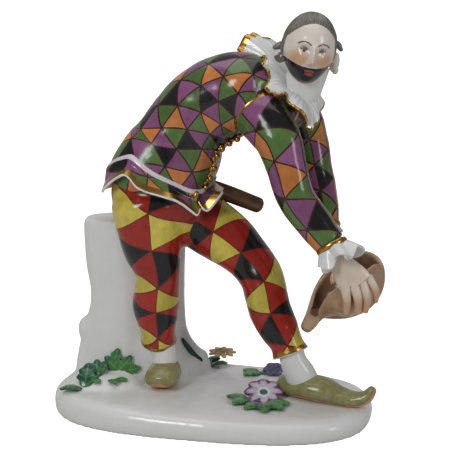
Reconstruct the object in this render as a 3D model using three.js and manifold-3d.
// A glazed porcelain Harlequin who bows with his soft hat held upside down in both hands.
// Figure, tree stump, flowers and base are fired as one piece, so the model is one closed solid.
// Millimetres, +Z up. The origin is the middle of the base's underside, and -Y is the front.
import * as THREE from "three";
import { mergeVertices } from "three/addons/utils/BufferGeometryUtils.js";
import Module from "manifold-3d";

// Driving dimensions
const FIGURE_HEIGHT = 151; // from the ground at the stump to the crown of the head
const BASE_LENGTH = 130;
const BASE_DEPTH = 78;
const BASE_TURN = -12.5; // degrees, so that the right end comes forward
const GROUND_LEFT = 11; // height of the base's top at its left end
const GROUND_RIGHT = 7.2;
const STUMP_WIDTH = 42;
const STUMP_DEPTH = 30;
const STUMP_HEIGHT = 67;
const RUFF_SPREAD = 29; // from the neck's middle to the tip of the ruff's high back corner
const RUFF_THICKNESS = 1.6;
const CUFF_PLEATS = 5;
const CUFF_THICKNESS = 1.4;
const SKIRT_THICKNESS = 1.8;
const BELT_WIDTH = 3.2;
const HAT_LENGTH = 40; // from the tip of its beak to the other end of the brim
const HAT_WIDTH = 25;
const HAT_DEPTH = 14.5;
const HAT_WALL = 1.8;
const BAT_WIDTH = 6.6;
const BAT_THICKNESS = 3;
const BUTTON_DIAMETER = 2.8;
const LEAF_LENGTH = 8;
const LEAF_THICKNESS = 1.8;
const FLOWER_DIAMETER = 14;

// The pose below is written in millimetres for a figure 151 tall, and grows with the height.
const POSE = FIGURE_HEIGHT / 151;
const STUMP_MIDDLE = [-32, 20];

const wasm = await Module();
wasm.setup();

// Joining solids

function solid(geometry) {
  const bare = geometry.clone();
  bare.deleteAttribute("normal");
  bare.deleteAttribute("uv");
  const merged = mergeVertices(bare, 1e-4);
  const mesh = new wasm.Mesh({
    numProp: 3,
    vertProperties: merged.attributes.position.array,
    triVerts: new Uint32Array(merged.index.array),
  });
  return new wasm.Manifold(mesh);
}

function joined(solids) {
  return solids.reduce((whole, piece) => whole.add(piece));
}

function geometryOf(manifold) {
  const { vertProperties, triVerts, numProp } = manifold.getMesh();
  const geometry = new THREE.BufferGeometry();
  geometry.setAttribute("position", new THREE.BufferAttribute(vertProperties, numProp));
  geometry.setIndex(new THREE.BufferAttribute(triVerts, 1));
  geometry.computeVertexNormals();
  return geometry;
}

// Shaping tools

function warped(geometry, place) {
  const positions = geometry.attributes.position;
  const point = new THREE.Vector3();
  for (let i = 0; i < positions.count; i++) {
    place(point.fromBufferAttribute(positions, i));
    positions.setXYZ(i, point.x, point.y, point.z);
  }
  return geometry;
}

// A turned form whose rows carry any numbers. The shaper gets a row and the angle round the
// axis, and says where that point goes. A row with "pole" set is a single point on the axis.
function turned(rows, sides, shape) {
  const profile = rows.map((row, index) => new THREE.Vector2(row.pole ? 0 : 1, index));
  return solid(
    warped(new THREE.LatheGeometry(profile, sides), (point) => {
      const row = rows[Math.round(point.y)];
      point.copy(shape(row, Math.atan2(-point.z, point.x), row.pole ? 0 : 1));
    }),
  );
}

// A closed ring: the last row meets the first one again.
function turnedRing(rows, sides, shape) {
  const profile = [...rows, rows[0]].map((row, index) => new THREE.Vector2(1, index % rows.length));
  return solid(
    warped(new THREE.LatheGeometry(profile, sides), (point) => {
      point.copy(shape(rows[Math.round(point.y)], Math.atan2(-point.z, point.x)));
    }),
  );
}

// Height of the base's top, which falls to the right.
function groundAt(x) {
  const share = THREE.MathUtils.clamp(x / BASE_LENGTH + 0.5, 0, 1);
  return THREE.MathUtils.lerp(GROUND_LEFT, GROUND_RIGHT, share);
}

const FIGURE_GROUND = groundAt(STUMP_MIDDLE[0]);

// A place on the figure: x, y and height above the ground at the stump.
function onFigure(x, y, z) {
  return new THREE.Vector3(x * POSE, y * POSE, FIGURE_GROUND + z * POSE);
}

// A limb follows a curve through its stations. A station is
// [x, y, height, half width across the view, half depth]. Its ends are flat or rounded.
function limb(stations, options = {}) {
  const { sides = 12, steps = 10, roundStart = 0, roundEnd = 0, facing = [0, -1, 0], relief } = options;
  const middles = stations.map(([x, y, z]) => onFigure(x, y, z));
  const path = new THREE.CatmullRomCurve3(middles, false, "centripetal");
  const sizes = new THREE.CatmullRomCurve3(
    stations.map(([, , , across, through]) => new THREE.Vector3(across * POSE, through * POSE, 0)),
    false,
    "catmullrom",
  );
  const rows = [{ t: 0, past: -roundStart, pole: true }];
  if (roundStart > 0) {
    rows.push({ t: 0, past: -0.7 * roundStart, share: 0.7 });
  }
  for (let step = 0; step <= steps; step++) {
    rows.push({ t: step / steps, past: 0, share: 1 });
  }
  if (roundEnd > 0) {
    rows.push({ t: 1, past: 0.7 * roundEnd, share: 0.7 });
  }
  rows.push({ t: 1, past: roundEnd, pole: true });
  const front = new THREE.Vector3(...facing);
  return turned(rows, sides, ({ t, past, share = 0 }, angle) => {
    const size = sizes.getPoint(t);
    const along = path.getTangent(t);
    const side = new THREE.Vector3().crossVectors(along, front).normalize();
    const back = new THREE.Vector3().crossVectors(along, side).normalize();
    const reach = share * (relief ? relief(angle, t) : 1);
    return path
      .getPoint(t)
      .addScaledVector(side, Math.cos(angle) * size.x * reach)
      .addScaledVector(back, Math.sin(angle) * size.y * reach)
      .addScaledVector(along, past * Math.min(size.x, size.y));
  });
}

// An egg-shaped lump with half sizes along its own axes, turned about them, then placed.
function lump([rx, ry, rz], place, turn = [0, 0, 0], sides = 6, rings = 4) {
  const egg = new THREE.SphereGeometry(POSE, sides, rings).scale(rx, ry, rz);
  egg.rotateX(turn[0]).rotateY(turn[1]).rotateZ(turn[2]);
  return solid(egg.translate(place.x, place.y, place.z));
}

// A frame whose +Z is the given direction, with +X as near as can be to the other one.
function frameAlong(direction, towards) {
  const z = new THREE.Vector3(...direction).normalize();
  const y = new THREE.Vector3().crossVectors(z, new THREE.Vector3(...towards)).normalize();
  const x = new THREE.Vector3().crossVectors(y, z);
  return new THREE.Matrix4().makeBasis(x, y, z);
}

function placed(matrix, at) {
  return matrix.clone().setPosition(at);
}

// The base

// Radius of the base's rounded oblong at an angle from its long axis.
function baseRadius(angle) {
  const squareness = 2.7;
  const long = Math.abs(Math.cos(angle) / (BASE_LENGTH / 2)) ** squareness;
  const deep = Math.abs(Math.sin(angle) / (BASE_DEPTH / 2)) ** squareness;
  return (long + deep) ** (-1 / squareness);
}

function base() {
  const rows = [
    { pole: true, inset: 0, up: 0 },
    { inset: 1.6, up: 0 },
    { inset: 0.2, up: 0.15 },
    { inset: 0, up: 0.45 },
    { inset: 1.4, up: 0.8 },
    { inset: 5, up: 1 },
    { pole: true, inset: 0, up: 1 },
  ];
  const turn = THREE.MathUtils.degToRad(BASE_TURN);
  return turned(rows, 36, ({ inset, up }, angle, open) => {
    const reach = open * (baseRadius(angle) - inset);
    const x = Math.cos(angle + turn) * reach;
    return new THREE.Vector3(x, Math.sin(angle + turn) * reach, up * groundAt(x));
  });
}

// The tree stump

// Soft upright folds in the bark, deeper towards the roots.
function bark(angle, t) {
  return 1 + (0.015 + 0.05 * (1 - t) ** 2) * Math.cos(7 * angle + 0.6);
}

function stump() {
  const tall = STUMP_HEIGHT / POSE;
  const half = STUMP_WIDTH / 2 / POSE;
  const deep = STUMP_DEPTH / 2 / POSE;
  const [middleX, middleY] = STUMP_MIDDLE;
  // Share of the height, the lean, and the spread across and through against the top's.
  const trunk = [
    [-0.09, 1, 1.34, 1.14],
    [-0.02, 1, 1.38, 1.18],
    [0.06, -0.2, 1.3, 1.14],
    [0.16, -1, 1.18, 1.08],
    [0.28, -1, 1.04, 1],
    [0.42, -0.2, 0.95, 1],
    [0.57, 0, 0.94, 1],
    [0.75, -0.7, 0.99, 1],
    [0.97, -1, 1, 1],
    [1, -1, 0.95, 0.95],
  ].map(([share, lean, wide, thick]) => {
    return [middleX + lean, middleY, share * tall, half * wide, deep * thick];
  });
  const scar = onFigure(middleX - 1.03 * half, middleY - 1, 0.29 * tall);
  const knot = lump([6, 6.5, 5], scar, [0, -0.5, 0], 7, 5);
  // The ground swells up to the roots under the ivy.
  const swell = lump([18, 15, 6], onFigure(-44, 5, -0.8), [0, 0, 0.3], 14, 6);
  return joined([limb(trunk, { sides: 18, steps: 9, relief: bark }), knot, swell]);
}

// Trousers, stockings and shoes

function trousers() {
  const hips = [
    [-21, 8, 86, 19, 13],
    [-21, 8, 78, 20, 14.6],
    [-18.5, 9, 69, 18.5, 14],
    [-16, 9.5, 60, 12, 10],
  ];
  const right = [
    [-25.6, 4, 74.2, 15.1, 13],
    [-25.2, 4, 66, 14, 13],
    [-24.6, 3.6, 58, 12.2, 12],
    [-22.6, 2.6, 49, 9.8, 10],
    [-22.2, 2.2, 43.8, 8.9, 9.2],
    [-23.1, 3.6, 33.5, 9.5, 9.8],
    [-22.8, 3.2, 26.6, 8.3, 8.7],
    [-22.4, 2.8, 21.6, 7, 7.4],
    [-22.4, 4.6, 17.2, 7.7, 7.7],
  ];
  const left = [
    [-7, 12.5, 68, 12.5, 12.5],
    [7.2, 8, 58.7, 11.3, 11.2],
    [15.2, 5, 51.2, 9.4, 9.8],
    [19.8, 1.6, 45, 9, 9.2],
    [23, -2, 32.6, 8.7, 9.2],
    [27.2, -5, 24.4, 7.8, 8.2],
    [30, -6.4, 19, 6.8, 7],
    [31.4, -7.2, 15.4, 7.9, 7.6],
  ];
  return joined([
    limb(hips, { sides: 12, steps: 3 }),
    limb(right, { sides: 12, steps: 8 }),
    limb(left, { sides: 12, steps: 8 }),
  ]);
}

function rightFoot() {
  const ankle = [
    [-21.2, 3.6, 19, 5.4, 5.4],
    [-20, 2.8, 12, 5, 5.2],
    [-19.8, 2, 3, 5.2, 5.6],
  ];
  const stocking = limb(ankle, { sides: 9, steps: 2 });
  const shoe = limb(
    [
      [-18.8, 8.4, 4, 4.6, 4.6],
      [-19.2, 4.6, 4.8, 6.2, 5.9],
      [-19.8, 0.2, 5, 6.7, 5.9],
      [-20.8, -3.6, 4.4, 7, 4.6],
      [-21.6, -7, 3.8, 6.3, 2.7],
    ],
    { sides: 10, steps: 5, roundStart: 0.5, roundEnd: 0.4, facing: [0, 0, 1] },
  );
  return joined([stocking, shoe]);
}

function leftFoot() {
  const ankle = [
    [31.2, -7.2, 18, 5, 5],
    [32.6, -8.2, 12.5, 5.4, 5.4],
    [35.2, -8.8, 7.4, 6.2, 5.6],
    [37.4, -9, 2.5, 6.2, 5],
  ];
  const stocking = limb(ankle, { sides: 10, steps: 4 });
  const shoe = limb(
    [
      [28.6, -3, 1.4, 4.4, 3.6],
      [32.6, -5.6, 2.1, 6.6, 4.3],
      [38.4, -9.4, 2.6, 7.2, 4.9],
      [44.2, -12.6, 2.2, 6.7, 5],
      [50, -15.6, 0.8, 5.6, 3.8],
      [55.6, -18.3, 0.2, 4.5, 3.1],
      [60.2, -20.4, 1.8, 3.4, 2.7],
      [62.6, -21.6, 5.2, 2, 1.8],
    ],
    { sides: 10, steps: 8, roundStart: 0.5, roundEnd: 0.8, facing: [0, 0, 1] },
  );
  return joined([stocking, shoe]);
}

// The jacket

function torso() {
  const spine = [
    [-24.8, 7.6, 78, 19, 13.6],
    [-22.4, 7.8, 85.4, 19.5, 14.8],
    [-15.5, 8.6, 94.9, 19.3, 15.4],
    [-9.8, 8.4, 105.3, 17, 15.5],
    [-3.1, 7.5, 112.9, 16.9, 15.8],
    [5.4, 6, 117.6, 16.7, 16.6],
    [14.3, 3.6, 120.1, 15.3, 17],
    [21.4, 1.4, 119.9, 11.6, 14],
    [26.6, -1, 119.6, 7, 9],
  ];
  return limb(spine, { sides: 16, steps: 12, roundEnd: 0.3 });
}

const WAIST_MIDDLE = [-20.5, 7.5];

// The belt's course. A row is the bearing in degrees about the waist, counted from the right, the
// height of the belt's middle, and the reach of the jacket under it.
const BELT_LINE = [
  [-180, 88.2, 19.6],
  [-155, 92.6, 17.4],
  [-136, 94.2, 16],
  [-124, 92.2, 15.3],
  [-103, 87.9, 14.6],
  [-71, 83.8, 14.4],
  [-45, 80.4, 15.7],
  [-25, 79.4, 17.6],
  [0, 83, 18.9],
  [40, 86, 18.2],
  [90, 88.4, 15.9],
  [135, 89, 17.2],
  [180, 88.2, 19.6],
];

// The skirt's hem: bearing, height and reach. Its two front corners hang to a point.
const HEM_LINE = [
  [-180, 78.6, 24.6],
  [-168, 79.6, 24.2],
  [-156, 82, 23.6],
  [-145, 85.4, 22.4],
  [-134, 87.8, 21],
  [-127, 86.6, 20.2],
  [-118, 83, 19.4],
  [-106, 81, 18.6],
  [-88, 79.4, 17.8],
  [-72, 78, 18.2],
  [-60, 75.8, 18.8],
  [-48, 72.4, 19.8],
  [-42, 70.4, 20.4],
  [-37.5, 75, 20.2],
  [-33, 71.4, 21.4],
  [-28, 76, 24.6],
  [-24, 79.8, 27.6],
  [-10, 80.2, 25],
  [15, 80, 24],
  [50, 80, 23.6],
  [90, 80.6, 23],
  [120, 80.6, 23.6],
  [145, 79.8, 24.4],
  [164, 79, 24.8],
];

// A value of the belt's line at a bearing.
function beltAt(bearing, column) {
  const next = Math.max(1, BELT_LINE.findIndex((row) => row[0] >= bearing));
  const [before, after] = [BELT_LINE[next - 1], BELT_LINE[next]];
  const share = (bearing - before[0]) / (after[0] - before[0]);
  return THREE.MathUtils.lerp(before[column], after[column], share);
}

// The belt is a raised band, and the skirt of the jacket hangs from it.
function beltAndSkirt() {
  const half = BELT_WIDTH / 2 / POSE;
  const wall = SKIRT_THICKNESS / POSE;
  const rows = [
    { down: 0, out: -6, up: 0 },
    { down: 1, out: -wall, up: 0 },
    { down: 1, out: 0, up: 0 },
    { down: 0.4, out: 0, up: 0 },
    { down: 0, out: 0.4, up: -half },
    { down: 0, out: 1.2, up: -half },
    { down: 0, out: 1.2, up: half },
    { down: 0, out: -6, up: half },
  ];
  return turnedRing(rows, HEM_LINE.length, ({ down, out, up }, angle) => {
    const share = (angle / (2 * Math.PI) + 1) % 1;
    const [bearing, hem, flare] = HEM_LINE[Math.round(share * HEM_LINE.length) % HEM_LINE.length];
    const reach = THREE.MathUtils.lerp(beltAt(bearing, 2), flare, down ** 1.3) + out;
    const height = THREE.MathUtils.lerp(beltAt(bearing, 1), hem, down) + up;
    const turn = THREE.MathUtils.degToRad(bearing);
    const x = WAIST_MIDDLE[0] + Math.cos(turn) * reach;
    return onFigure(x, WAIST_MIDDLE[1] + Math.sin(turn) * reach, height);
  });
}

function sleeves() {
  const right = [
    [16.5, -4, 114, 10.5, 8.6],
    [21.5, -10, 107.6, 9.8, 8.4],
    [25.3, -13, 102, 9, 8],
    [28.7, -16, 91.2, 7.8, 7.4],
    [31.7, -18, 81.1, 7.4, 7.2],
    [39.1, -22, 70.9, 7, 6.6],
    [44.8, -24.7, 63.6, 6, 5.8],
  ];
  const left = [
    [27, 9, 113, 9, 9],
    [35, 14, 108.5, 9, 8.4],
    [39.2, 15, 99, 8, 7.8],
    [41.3, 13, 89, 7.4, 7.4],
    [43.4, 8.4, 78.4, 7.2, 7],
    [44.6, 3, 70.4, 6.4, 6.2],
    [45, 1, 66.4, 5.8, 5.8],
  ];
  return joined([limb(right, { sides: 12, steps: 8 }), limb(left, { sides: 11, steps: 7 })]);
}

// The strip down the front with its row of buttons.
function placket() {
  const line = [
    [12, 1.5, 102.6],
    [8.9, 3.4, 100.9],
    [5, 4, 98.3],
    [3, 3, 96.2],
    [2, 2.8, 94.3],
    [1.3, 3, 91.2],
    [0.2, 3.4, 87.4],
    [-2, 4, 82.4],
    [-3.4, 3.6, 80],
  ];
  const strip = limb(line.map((at) => [...at, 1.7, 3.2]), { sides: 5, steps: 4 });
  const path = new THREE.CatmullRomCurve3(line.map((at) => onFigure(...at)));
  const count = 7;
  const buttons = [];
  for (let i = 0; i < count; i++) {
    const t = (i + 0.5) / count;
    const outward = path.getTangent(t).cross(new THREE.Vector3(0, 1, 0)).normalize();
    const at = path.getPoint(t).addScaledVector(outward, -1.2 * POSE);
    at.y -= 2.8 * POSE;
    buttons.push(lump(Array(3).fill(BUTTON_DIAMETER / 2 / POSE), at, [0, 0, 0], 5, 4));
  }
  return joined([strip, ...buttons]);
}

// A frill is a thin ring that spreads from a tight band to a wavy outer edge.
function frill(place, { inner, outer, thickness, pleats, samples, depth, cone }) {
  const rows = [
    { radius: inner, up: 0, spread: 0 },
    { radius: outer, up: 0, spread: 1 },
    { radius: outer, up: thickness, spread: 1 },
    { radius: inner, up: thickness, spread: 0 },
  ];
  return turnedRing(rows, pleats * samples, ({ radius, up, spread }, angle) => {
    const pleat = Math.cos(pleats * angle) * depth * spread;
    const reach = radius + pleat * 0.3 + Math.sin(3 * angle) * 0.4 * depth * spread;
    const height = up + pleat - cone * spread;
    return new THREE.Vector3(Math.cos(angle) * reach, Math.sin(angle) * reach, height).applyMatrix4(place);
  });
}

// The ruff's edge, from the back of the near shoulder forward round the neck. A row is the bearing
// in degrees about the neck, the reach in shares of the spread, and the height in millimetres.
const RUFF_EDGE = [
  [-179, 0.55, 0.6],
  [-174, 0.54, -0.8],
  [-164, 0.48, 0],
  [-154, 0.45, 0.5],
  [-142, 0.49, -1.4],
  [-134, 0.5, -2.3],
  [-122, 0.5, -1.1],
  [-112, 0.51, 0],
  [-106, 0.49, 2.4],
  [-92, 0.53, 2.2],
  [-74, 0.58, 1.2],
  [-61, 0.64, -1.3],
  [-55, 0.68, -2.8],
  [-48, 0.68, -2.7],
  [-34, 0.56, -1.3],
  [-13, 0.48, -1.1],
  [6, 0.46, -0.4],
  [22, 0.47, -1.1],
  [39, 0.51, -2.1],
  [56, 0.6, -2.9],
  [70, 0.64, -2],
  [82, 0.72, -3.7],
  [95, 0.74, -1.6],
  [106, 0.82, -2.3],
  [125, 0.87, 0],
  [140, 0.9, 1.7],
  [147, 0.98, 1],
  [152, 1, 0.3],
  [158, 0.98, -2.6],
  [163, 0.93, -4.6],
  [165, 0.83, -3.5],
  [167, 0.68, -0.9],
  [170, 0.57, 2.3],
];

function ruff() {
  const place = placed(frameAlong([0.5, -0.5, 0.7], [0.7, 0.1, -0.5]), onFigure(32, -2, 121.5));
  const rows = [
    { out: 0.1, up: 0, arch: 0 },
    { out: 0.6, up: 0, arch: 1.6 },
    { out: 1, up: 0, arch: 0 },
    { out: 1, up: RUFF_THICKNESS, arch: 0 },
    { out: 0.6, up: RUFF_THICKNESS, arch: 1.6 },
    { out: 0.1, up: RUFF_THICKNESS, arch: 0 },
  ];
  return turnedRing(rows, RUFF_EDGE.length, ({ out, up, arch }, angle) => {
    const share = (angle / (2 * Math.PI) + 1) % 1;
    const [degrees, reach, lift] = RUFF_EDGE[Math.round(share * RUFF_EDGE.length) % RUFF_EDGE.length];
    const bearing = THREE.MathUtils.degToRad(degrees);
    const far = reach * RUFF_SPREAD * out;
    const height = (lift * out + arch) * POSE + up;
    return new THREE.Vector3(Math.cos(bearing) * far, Math.sin(bearing) * far, height).applyMatrix4(place);
  });
}

function cuff(at, direction, inner, outer, fall, depth) {
  return frill(placed(frameAlong(direction, [1, 0, 0]), onFigure(...at)), {
    inner: inner * POSE,
    outer: outer * POSE,
    thickness: CUFF_THICKNESS,
    pleats: CUFF_PLEATS,
    samples: 3,
    depth,
    cone: -fall * POSE,
  });
}

function cuffs() {
  return joined([
    cuff([45.4, -25, 62.9], [0.45, -0.3, -0.84], 4.8, 8.4, 6.6, 1.4),
    cuff([45, 0.8, 66.4], [0.1, -0.42, -0.9], 4.4, 6.4, 3, 0.6),
  ]);
}

// Head and hands

// A soft hill of the given height and spread round a point.
function hill(dx, dz, spreadX, spreadZ) {
  return Math.exp(-((dx / spreadX) ** 2) - (dz / spreadZ) ** 2);
}

// The head in shares of its own half width, with its face towards -Y.
function head() {
  const halfWidth = 10.1;
  const halfDepth = 12;
  const halfHeight = 13.5;
  const ball = new THREE.SphereGeometry(1, 22, 17).rotateX(Math.PI / 2);
  warped(ball, (point) => {
    const round = Math.hypot(point.x, point.y);
    // More columns are spent on the face than on the back of the head.
    const around = Math.atan2(point.x, -point.y);
    const angle = around - 0.42 * Math.sin(around);
    const x = Math.sin(angle) * round;
    const y = -Math.cos(angle) * round;
    const z = point.z;
    const face = THREE.MathUtils.smoothstep(-y, 0.15, 0.75);
    const jaw = 1 - 0.13 * THREE.MathUtils.smoothstep(-z, 0.05, 1);
    const side = Math.abs(x);
    const nose = 0.2 * hill(x, z + 0.28, 0.13, 0.12) + 0.13 * hill(x, z + 0.08, 0.1, 0.22);
    const sockets = -0.07 * hill(side - 0.35, z - 0.03, 0.16, 0.09);
    const brows = 0.03 * hill(side - 0.34, z - 0.2, 0.26, 0.07);
    const lips = 0.05 * hill(x, z + 0.6, 0.24, 0.09);
    const chin = 0.09 * hill(x, z + 0.86, 0.3, 0.16);
    const cheeks = 0.03 * hill(side - 0.47, z + 0.2, 0.25, 0.2);
    const hairline = 0.62 - 0.4 * side;
    const hair = 0.07 * THREE.MathUtils.smoothstep(Math.max(z - hairline, y + 0.25), 0, 0.12);
    const swell = 1 + hair;
    const relief = face * (nose + sockets + brows + lips + chin + cheeks);
    point.set(
      x * swell * jaw * halfWidth,
      (y * swell - relief) * (1 - 0.1 * (1 - jaw)) * halfDepth,
      z * (1 + 0.4 * hair) * halfHeight,
    ).multiplyScalar(POSE);
  });
  const at = onFigure(37, -7.4, 136.4);
  ball.rotateX(0.1).rotateY(0.16).rotateZ(0.1).translate(at.x, at.y, at.z);
  const throat = [
    [32.6, -1.4, 116, 8, 7.6],
    [35.2, -2, 122, 7.8, 7.4],
    [38.2, -1.6, 131, 8, 7.6],
  ];
  const neck = limb(throat, { sides: 10, steps: 2 });
  const ear = lump([2, 2.6, 4], onFigure(47.2, -5, 131.2), [0, 0.16, 0.2]);
  const curls = [
    lump([2.8, 2.6, 2.4], onFigure(26, -6, 139.4)),
    lump([2.2, 2.2, 2], onFigure(26.6, -8, 133.4)),
    lump([2.4, 1.6, 1.6], onFigure(48.4, -4, 139.4)),
  ];
  return joined([solid(ball), neck, ear, ...curls]);
}

function finger(stations) {
  return limb(stations, { sides: 5, steps: 2, roundEnd: 0.8 });
}

function rightHand() {
  const back = [
    [43.8, -24.2, 64.6, 4.2, 3.8],
    [46.2, -25.2, 60.6, 4.4, 3.5],
    [48.9, -26, 56.3, 4.8, 3.2],
    [52.6, -27.6, 51.4, 6.6, 2.8],
    [55, -28.2, 48.2, 6.8, 2.4],
  ];
  const palm = limb(back, { sides: 8, steps: 2 });
  const fingers = [
    [[49.6, -28, 48.6, 2.1, 2.2], [51.2, -28.8, 43.4, 1.8, 1.9], [51, -27.4, 38, 1.4, 1.5]],
    [[53.6, -28.4, 48.6, 2.1, 2.2], [55.1, -29.2, 43.6, 1.9, 2], [55.4, -27.4, 38.4, 1.5, 1.6]],
    [[57, -28, 49, 2.1, 2.1], [58.6, -28.8, 44.2, 1.8, 1.9], [58.2, -27, 38.8, 1.4, 1.5]],
    [[60, -27, 50, 1.9, 1.9], [62, -27.4, 46.2, 1.7, 1.8], [62.2, -26, 42.6, 1.3, 1.4]],
    [[49, -25.6, 54, 2.1, 2.1], [50.4, -23.2, 50.5, 2, 2], [51.4, -22.4, 47, 1.7, 1.7]],
  ];
  return joined([palm, ...fingers.map(finger)]);
}

function leftHand() {
  const back = [
    [45, 1, 66, 4.2, 4],
    [47.4, 0, 60, 4.8, 3.2],
    [51, -0.8, 54, 6, 2.8],
    [52.6, -0.8, 51.6, 5.6, 2.4],
  ];
  const palm = limb(back, { sides: 8, steps: 4 });
  const fingers = [0, 1, 2, 3].map((i) => [
    [47.6 + 2.8 * i, -0.2, 53.6 + 0.3 * i, 1.9, 1.9],
    [48.4 + 2.9 * i, -0.2, 48.2 + 0.9 * i, 1.8, 1.9],
    [48.6 + 2.9 * i, -2.4, 43.8 + 1.4 * i, 1.5, 1.6],
  ]);
  return joined([palm, ...fingers.map(finger)]);
}

const HAT_MIDDLE = [51.7, -15.5, 47];

// The brim of a hat 40 long and 25 wide, from its right end back along the far side, round the
// beak and along the near side: x, y and z from the hat's middle, and the bowl's share of its depth.
const BRIM = [
  [15.3, 0.5, 5.5, 1],
  [14.3, 5.5, 8, 1],
  [12.2, 10.4, 9.2, 1],
  [9.2, 13.2, 9.6, 1],
  [5.3, 14.2, 9, 1],
  [0.3, 14.6, 6.8, 1],
  [-4, 15, 3.8, 1],
  [-7.2, 15.2, 0, 1],
  [-9.8, 14.4, -4, 1],
  [-12, 11.6, -8, 0.85],
  [-14.6, 5.5, -13.8, 0.5],
  [-16.7, 2.5, -18, 0],
  [-16.2, 0, -19.5, 0],
  [-14.2, -1.5, -20, 0],
  [-12.2, -3.5, -18, 0],
  [-10.2, -5, -14.5, 0.1],
  [-10.7, -6.5, -10, 0.35],
  [-8.2, -8.5, -5, 0.55],
  [-5.2, -10, -1.5, 0.8],
  [-1.2, -11, 2, 1],
  [2.8, -11, 5, 1],
  [7.8, -9.5, 7, 1],
  [10.8, -6, 8, 1],
  [13.3, -3, 7.5, 1],
];

// The hat, a soft felt bowl with one end of its brim drawn out into a drooping beak.
function hat() {
  const middle = onFigure(...HAT_MIDDLE);
  const down = new THREE.Vector3(0.16, -0.03, -0.99);
  const size = new THREE.Vector3(HAT_LENGTH / 40, HAT_WIDTH / 25, HAT_LENGTH / 40);
  const bowl = [
    { out: 0, pole: true },
    { out: 0.36 },
    { out: 0.66 },
    { out: 0.88 },
    { out: 1 },
  ];
  const rows = [...bowl, ...bowl.map((row) => ({ ...row, wall: HAT_WALL })).reverse()];
  return turned(rows, BRIM.length, ({ out, wall = 0 }, angle, open) => {
    const share = (angle / (2 * Math.PI) + 1) % 1;
    const [x, y, z, sag] = BRIM[Math.round(share * BRIM.length) % BRIM.length];
    const rim = new THREE.Vector3(x, y, z).multiply(size);
    // The beak is all but closed, so the felt is thick there.
    const inset = wall * (1 + 2.2 * (1 - sag));
    const reach = open * out * (1 - inset / rim.length());
    const round = (1 - out ** 2.4) ** (1 / 2.4);
    const sink = HAT_DEPTH * (1 - (1 - sag) * out) ** 1.6 - wall * (1 - out);
    const depth = round * sink - wall * (1 - sag) * out ** 6;
    return middle.clone().addScaledVector(rim, reach).addScaledVector(down, depth);
  });
}

// The wooden bat, tucked under the belt on his left side.
function bat() {
  const half = BAT_WIDTH / 2 / POSE;
  const thin = BAT_THICKNESS / 2 / POSE;
  const blade = [
    [-8, 15, 83.6, half * 0.8, thin],
    [6, 16, 78, half * 0.9, thin],
    [18.6, 17, 72.6, half, thin],
  ];
  return limb(blade, { sides: 8, steps: 2, roundEnd: 1.6 });
}

// Leaves and flowers

// A leaf starts at its stalk, heads outwards and rises towards its tip.
function leaf(at, heading, rise, scale) {
  const long = (LEAF_LENGTH / 2) * scale;
  const blade = new THREE.SphereGeometry(1, 5, 3).rotateX(Math.PI / 2);
  blade.scale(long, long * 0.6, LEAF_THICKNESS / 2).translate(long * 0.9, 0, 0);
  blade.rotateY(-rise).rotateZ(heading);
  return blade.translate(at.x, at.y, at.z);
}

// A place on the base's top: shares of its half length and half depth, and a lift above it.
function onBase([alongShare, acrossShare, lift]) {
  const x = (alongShare * BASE_LENGTH) / 2;
  return new THREE.Vector3(x, (acrossShare * BASE_DEPTH) / 2, groundAt(x) + lift);
}

// A place on the stump's bark: shares of its width and depth from its middle, and a height.
function onStump([acrossShare, throughShare, height]) {
  const x = STUMP_MIDDLE[0] * POSE + acrossShare * STUMP_WIDTH;
  const y = STUMP_MIDDLE[1] * POSE + throughShare * STUMP_DEPTH;
  return new THREE.Vector3(x, y, FIGURE_GROUND + height);
}

// Leaves in a fan from one stalk, flat on the ground.
function spray(place, headings, rise, scale) {
  const at = onBase(place);
  return joined(headings.map((heading) => solid(leaf(at, heading, rise, scale))));
}

// The same fan set upright against the stump, at a height above the ground.
function climbingSpray(place, headings, rise, scale) {
  const at = onStump(place);
  const stalk = new THREE.Vector3();
  return joined(
    headings.map((heading) => {
      const blade = leaf(stalk, heading, rise, scale).rotateX(Math.PI / 2);
      return solid(blade.translate(at.x, at.y, at.z));
    }),
  );
}

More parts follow.
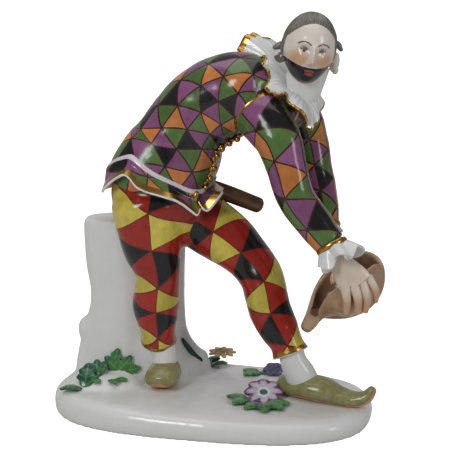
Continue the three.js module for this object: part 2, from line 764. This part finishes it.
// A flower is a saucer with a scalloped edge and a raised heart, on a stalk let into the ground.
function flower(place, petals, lean, scale) {
  const heart = onBase(place);
  const lift = place[2];
  const radius = (FLOWER_DIAMETER / 2) * scale;
  const rows = [
    { out: 0, up: -lift - 1, pole: true, stalk: true },
    { out: 0.3 * radius, up: -lift - 1, stalk: true },
    { out: radius, up: 0.02 * radius },
    { out: 0.42 * radius, up: 0 },
    { out: 0.28 * radius, up: 0.2 * radius },
    { out: 0, up: 0.28 * radius, pole: true },
  ];
  return turned(rows, petals * 2, ({ out, up, stalk }, angle) => {
    const scallop = out === radius ? 1 + 0.13 * Math.cos(petals * angle) : 1;
    const point = new THREE.Vector3(Math.cos(angle) * out * scallop, Math.sin(angle) * out * scallop, up);
    if (!stalk) {
      point.applyAxisAngle(new THREE.Vector3(1, 0, 0), lean);
    }
    return point.add(heart);
  });
}

function plants() {
  return joined([
    spray([-0.81, -0.2, -0.2], [3.35], 0.05, 1.2),
    spray([-0.79, -0.2, 0.6], [1.5], 0.65, 1.6),
    spray([-0.77, -0.12, 1.2], [1], 0.6, 1.1),
    spray([-0.73, -0.03, 3.2], [1.65, 0.9], 0.7, 1.1),
    spray([-0.63, -0.06, 2.2], [-0.3], 0.1, 0.9),
    climbingSpray([-0.22, -0.53, 7.6], [1.25], 0, 1),
    climbingSpray([-0.162, -0.54, 5.4], [0.85], 0, 1.1),
    climbingSpray([-0.107, -0.54, 5.6], [0.15], 0, 0.9),
    climbingSpray([0.462, -0.1, 11.4], [1.9, 5.3], 0, 0.9),
    climbingSpray([0.548, -0.02, 5.3], [5.5], 0, 1),
    spray([-0.03, 0.76, 0], [-0.4, 1.1, 2.6], 0.2, 1.2),
    spray([0.31, 0.49, 0], [2.7, 3.6, 0.4], 0.1, 1.1),
    spray([0.23, -0.41, 0], [2.9, 3.9], 0.12, 1.3),
    spray([0.31, -0.51, 0], [3.9, 4.7, 5.5, 6.2], 0.06, 1.4),
    flower([0.314, -0.323, 2], 7, 0.42, 1),
    flower([0.058, 0.846, 4.6], 9, 0.1, 0.8),
    flower([0.4, 0.513, 1.8], 6, 0.35, 0.6),
  ]);
}

const figure = joined([
  base(),
  stump(),
  trousers(),
  rightFoot(),
  leftFoot(),
  torso(),
  beltAndSkirt(),
  sleeves(),
  placket(),
  ruff(),
  cuffs(),
  head(),
  rightHand(),
  leftHand(),
  hat(),
  bat(),
  plants(),
]);

const porcelain = new THREE.MeshStandardMaterial({ color: 0xe8e6e0, roughness: 0.12, metalness: 0 });
const statuette = new THREE.Mesh(geometryOf(figure), porcelain);
statuette.name = "porcelain_harlequin";

const part = new THREE.Group();
part.add(statuette);

export default part;
